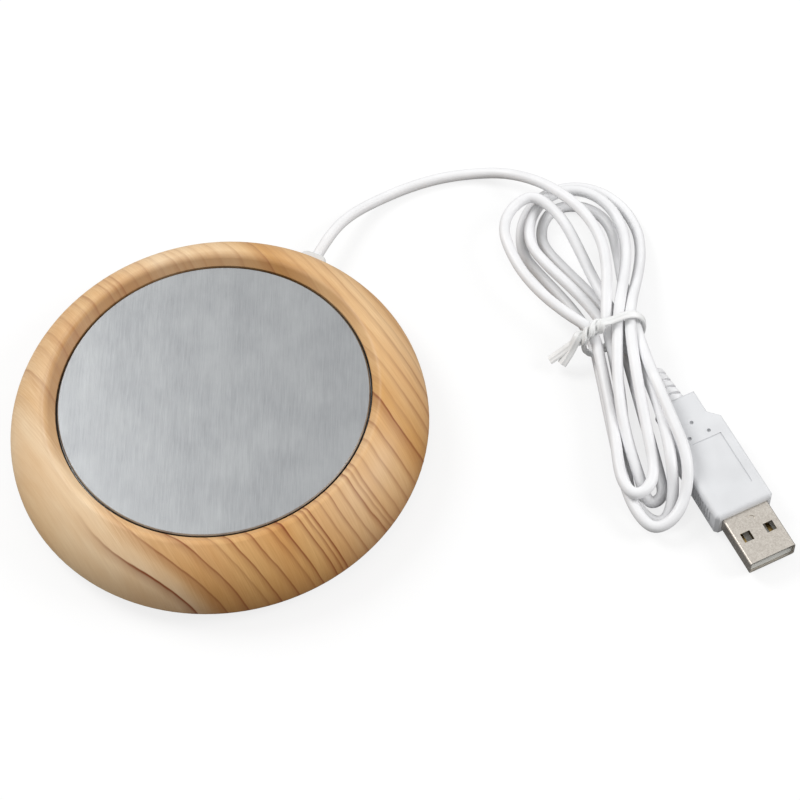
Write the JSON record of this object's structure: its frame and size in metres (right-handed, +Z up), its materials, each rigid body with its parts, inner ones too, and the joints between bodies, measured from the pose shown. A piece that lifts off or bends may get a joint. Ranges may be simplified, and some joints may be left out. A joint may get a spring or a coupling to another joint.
{
  "type": "electric mug warmer",
  "caption": "Round mug warmer: wood-look ring housing round a recessed brushed metal heating plate, with a tied cord and a USB plug.",
  "frame": {"origin": "on the table under the centre of the heating plate", "axes": "+Z up, square to the heating plate; +X to the right in the picture, towards the plug's side; +Y away from the picture's camera; the cord leaves at 60 degrees from +X towards +Y"},
  "size_m": [0.1835, 0.1255, 0.0192],
  "materials": {
    "wood_look": "pale honey wood grain, satin",
    "white_abs": "moulded, matte",
    "foot_rubber": "moulded, matte",
    "screw_steel": "zinc plated",
    "brushed_aluminium": "straight brushed",
    "dark_silicone": "moulded, matte",
    "heater_film": "polyimide film, satin",
    "insulation": "pressed fibre, matte",
    "backing_steel": "rolled",
    "cutout_metal": "drawn",
    "red_insulation": "extruded",
    "black_insulation": "extruded",
    "cord_white": "soft PVC, satin",
    "tie_white": "coated wire, satin",
    "plug_white": "moulded soft PVC, satin",
    "plug_nickel": "nickel plated, satin",
    "tongue_plastic": "moulded",
    "contact_gold": "gold plated"
  },
  "bodies": {
    "root": {"ring_housing": "wood_look", "base_cover": "white_abs", "rubber_feet": "foot_rubber", "housing_screws": "screw_steel", "heating_plate": "brushed_aluminium", "plate_gasket": "dark_silicone", "heater_film": "heater_film", "insulation_pad": "insulation", "backing_plate": "backing_steel", "backing_screws": "screw_steel", "thermal_cutout": "cutout_metal", "cutout_strap": "backing_steel", "wire_red": "red_insulation", "wire_black": "black_insulation", "wire_link": "red_insulation", "shrink_sleeves": "black_insulation", "cord_inner_end": "cord_white", "cord_clamp": "white_abs", "clamp_screws": "screw_steel", "cable_gland": "cord_white", "cord_lead": "cord_white", "cord_hank": "cord_white", "twist_tie": "tie_white", "usb_overmould": "plug_white", "usb_strain_relief": "plug_white", "usb_shell": "plug_nickel", "usb_tongue": "tongue_plastic", "usb_contacts": "contact_gold"}
  },
  "joints": []
}
